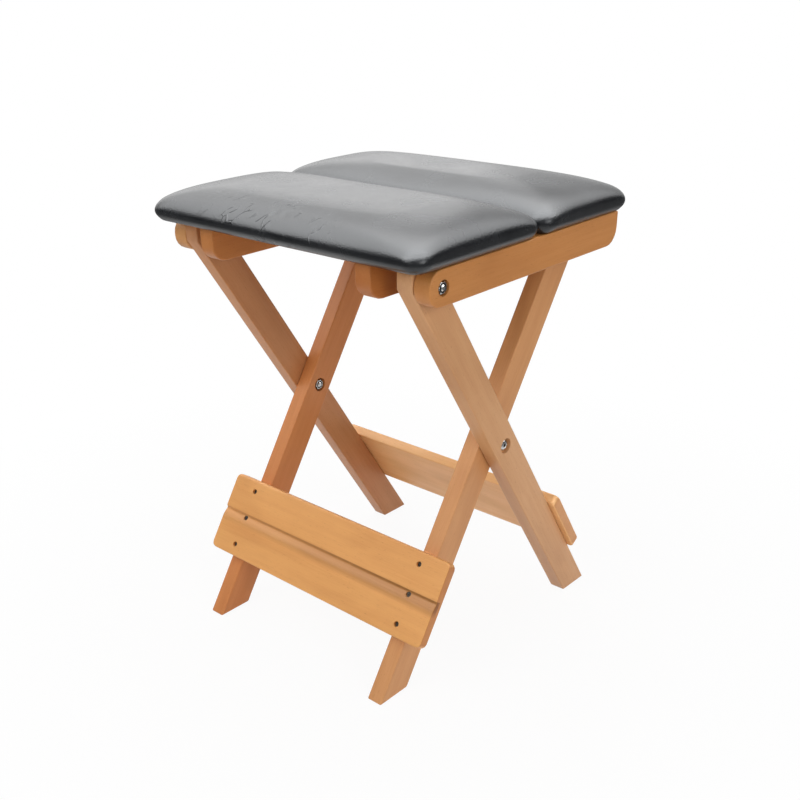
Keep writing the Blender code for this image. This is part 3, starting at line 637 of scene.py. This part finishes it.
def pivot_nut():
    """Hexagon nut with chamfered corners and a threaded bore."""
    flats, chamfered, edge = 0.0100, 0.00485, 0.0004
    half, bore, bore_mouth, mouth_deep = 0.0025, 0.0032, 0.0041, 0.0009
    return loft([(hexagon_loop(flats, chamfered), half), (hexagon_loop(flats), half - edge),
                 (hexagon_loop(flats), edge - half), (hexagon_loop(flats, chamfered), -half),
                 (round_loop(bore_mouth), -half), (round_loop(bore), mouth_deep - half),
                 (round_loop(bore), half - mouth_deep), (round_loop(bore_mouth), half)], ring=True)


def pivot_washer():
    half, outer, bore, edge, bore_edge = 0.0006, 0.0060, 0.0033, 0.00015, 0.0001
    return loft([(round_loop(outer - edge), half), (round_loop(outer), half - edge),
                 (round_loop(outer), edge - half), (round_loop(outer - edge), -half),
                 (round_loop(bore + bore_edge), -half), (round_loop(bore), edge - half),
                 (round_loop(bore), half - edge), (round_loop(bore + bore_edge), half)],
                ring=True)


def screw(head, shank, rim, neck, length):
    """Cross-head screw whose head's top is Z = 0; the neck is where its shank starts."""
    slot = head * 0.58
    top = [(cross_loop(slot * 0.6, slot * 0.18), -rim - 0.0008),
           (cross_loop(slot, slot * 0.26), -0.0001),
           (cross_loop(slot * 1.05, slot * 0.32), 0), (round_loop(head * 0.92), 0),
           (round_loop(head), -0.0002), (round_loop(head), -rim), (round_loop(shank), -neck)]
    thread = ridges(shank, shank * 0.22, -neck - 0.003, -length + 3 * shank, 0.0014)
    tip = [(round_loop(shank * 0.7), -length + 2.4 * shank), (round_loop(0.00005), -length)]
    return loft(top + thread + tip, segments=32)


def put_along_x(bm, node, outwards):
    """Lays a part along X in the middle of its node; outwards is 1 or -1."""
    low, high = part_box(node)
    middle = (low + high) / 2
    turn = Matrix.Rotation((1 if middle.x > 0 else -1) * outwards * pi / 2, 4, "Y")
    bmesh.ops.transform(bm, matrix=Matrix.Translation(middle) @ turn, verts=bm.verts)
    return bm


def put_screw(bm, node, tilt, head):
    """Puts a screw in its node's place; its head is turned from up by the tilt about X."""
    low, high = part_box(node)
    turn = Matrix.Rotation(tilt, 4, "X")
    out = turn @ Vector((0, 0, 1))
    at = Vector(((low.x + high.x) / 2, 0, 0))
    at.y = high.y - head * abs(out.z) if out.y > 0 else low.y + head * abs(out.z)
    at.z = high.z - head * abs(out.y) if out.z > 0 else low.z + head * abs(out.y)
    if abs(out.y) < 1e-6:
        at.y = (low.y + high.y) / 2
    bmesh.ops.transform(bm, matrix=Matrix.Translation(at) @ turn, verts=bm.verts)
    return bm


def add_pivots(bright, dark):
    head_bodies = {"crossing": "outer_legs", "front_pivot": "outer_legs",
                   "rear_pivot": "inner_legs"}
    nut_bodies = {"crossing": "inner_legs", "front_pivot": "rear_seat",
                  "rear_pivot": "front_seat"}
    for pivot, head_body in head_bodies.items():
        head_out = -1 if pivot == "front_pivot" else 1
        parts = (("bolt", pivot_bolt, head_body, head_out),
                 ("nut", pivot_nut, nut_bodies[pivot], -head_out),
                 ("washer", pivot_washer, nut_bodies[pivot], -head_out))
        for side in ("left", "right"):
            for part, make, body, outwards in parts:
                node = f"{pivot}_{side}_{part}"
                # a bolt's socket takes the dark steel as painted shade
                add_piece("plated_" + node, put_along_x(make(), node, outwards), bright, body,
                          "steel", node, second=dark if part == "bolt" else None)


def add_screws(dark):
    # End of the stool, body that holds its board, tilt of the heads
    for end, legs, tilt in (("front", "inner_legs", pi / 2 - LEAN),
                            ("rear", "outer_legs", LEAN - pi / 2)):
        kinds = (("screw", BOARD_SCREW, 3, tilt, legs),
                 ("seat_screw", SEAT_SCREW, 2, pi, end + "_seat"))
        for side in ("left", "right"):
            for kind, size, count, turned, body in kinds:
                for row in range(1, count + 1):
                    node = f"{end}_{kind}_{side}_{row}"
                    bm = put_screw(screw(**size), node, turned, size["head"])
                    add_piece("dark_" + node, bm, dark, body, "dark_steel", node)


# Surroundings
FLOOR_HALF = 12
FLOOR_DROP = 0.0003               # below the feet, which then don't flicker with it
RAMP_REACH = 2.0                  # distance from the middle at a floor ramp's end
SHOWN_WHITE = ((0.14, 0.93), (0.36, 1.0))      # share of plain white that the camera sees
MIRRORED_WHITE = ((0.25, 1.0), (0.48, 0.22))   # strength of the floor in reflections


def add_floor():
    bm = bmesh.new()
    bmesh.ops.create_grid(bm, x_segments=1, y_segments=1, size=FLOOR_HALF)
    bmesh.ops.translate(bm, verts=bm.verts, vec=(0, 0, -FLOOR_DROP))
    mesh = bpy.data.meshes.new("floor")
    bm.to_mesh(mesh)
    bm.free()
    floor = bpy.data.objects.new("floor", mesh)
    scene.collection.objects.link(floor)
    mesh.materials.append(floor_white())


def floor_white():
    """Pale floor that keeps the shadow, shown and mirrored as white further off."""
    white = Nodes(bpy.data.materials.new("floor"), Base_Color=(0.88, 0.88, 0.88, 1),
                  Roughness=0.9, Specular_IOR_Level=0.1)
    x, y, _ = white.split(white.coordinates())
    away = white.maths("SQRT", white.maths("ADD", white.maths("MULTIPLY", x, x),
                                           white.maths("MULTIPLY", y, y)))
    reach = white.maths("DIVIDE", away, RAMP_REACH)
    path = white.add("ShaderNodeLightPath")
    mirrored = path.outputs["Is Glossy Ray"]
    looked_at = white.maths("MAXIMUM", path.outputs["Is Camera Ray"],
                            path.outputs["Is Transmission Ray"])
    glow = white.add("ShaderNodeEmission")
    white.link(white.mix(1.0, white.ramp(reach, *MIRRORED_WHITE), mirrored, number=True),
               glow.inputs["Strength"])
    both = white.add("ShaderNodeMixShader")
    shown = white.maths("MULTIPLY", looked_at, white.ramp(reach, *SHOWN_WHITE))
    white.link(white.maths("MAXIMUM", mirrored, shown), both.inputs["Fac"])
    white.link(white.shader.outputs[0], both.inputs[1])
    white.link(glow.outputs[0], both.inputs[2])
    white.link(both.outputs[0], white.tree.nodes["Material Output"].inputs["Surface"])
    return white.owner


# Lamps as (name, place, width and height, watts), all turned to the seat
LAMPS = (("key", (-0.3, -2.0, 1.9), (1.8, 1.4), 20),
         ("fill", (2.4, -0.6, 1.3), (1.2, 1.2), 18.5),
         ("sheen", (-1.80, 1.10, 1.40), (2.2, 1.2), 8.0),
         ("overhead", (-0.35, 0.35, 2.2), (1.8, 1.8), 9))
LAMPS_TOWARDS = (0, 0, 0.40)
ROOM_LEVEL = 0.44                 # plain light from all round
CEILING_GLOW = 9.0                # what reflections gain towards the ceiling
TO_VIEWER = (0.69, -0.72)         # level direction of the side that the stool is looked at from


def add_lamps():
    for name, place, size, power in LAMPS:
        data = bpy.data.lights.new(name, "AREA")
        data.shape = "RECTANGLE"
        data.size, data.size_y = size
        data.energy = power
        lamp = bpy.data.objects.new(name, data)
        scene.collection.objects.link(lamp)
        lamp.location = place
        back = Vector(place) - Vector(LAMPS_TOWARDS)
        lamp.rotation_euler = back.to_track_quat("Z", "Y").to_euler()


def add_room():
    """White room behind the stool, dimmer in reflections on the side that it is looked at from."""
    scene.world = bpy.data.worlds.new("studio")
    room = Nodes(scene.world, Color=(1, 1, 1, 1))
    path = room.add("ShaderNodeLightPath")
    x, y, z = room.split(room.coordinates("Generated"))
    in_front = room.maths("ADD", room.maths("MULTIPLY", x, TO_VIEWER[0]),
                          room.maths("MULTIPLY", y, TO_VIEWER[1]))
    over_back = room.maths("MULTIPLY_ADD", in_front, -0.6, z)
    over_front = room.maths("MULTIPLY_ADD", in_front, 0.6, z)
    lit = room.ramp(room.maths("MULTIPLY_ADD", over_back, 0.25, 0.5), (0.58, 0.035), (0.64, 1.0))
    height = room.ramp(over_front, (0.05, 0.0), (0.38, 0.38), (0.95, 1.0))
    mirrored = room.maths("MULTIPLY", lit, room.maths("MULTIPLY_ADD", height, CEILING_GLOW, 1.0))
    level = room.mix(ROOM_LEVEL, mirrored, path.outputs["Is Glossy Ray"], number=True)
    looked_at = room.maths("MAXIMUM", path.outputs["Is Camera Ray"],
                           path.outputs["Is Transmission Ray"])
    room.link(room.mix(level, 1.0, looked_at, number=True), "Strength")


scene.view_settings.view_transform = "Standard"
add_camera()
add_room()
add_lamps()
add_floor()
finish_wood()
leather = leatherette()
add_cushion("front", leather)
add_cushion("rear", leather)
# the dark steel is painted shade on the screws and in the bolts' sockets
plated, painted_shade_steel = steel(), dark_steel()
add_pivots(plated, painted_shade_steel)
add_screws(painted_shade_steel)
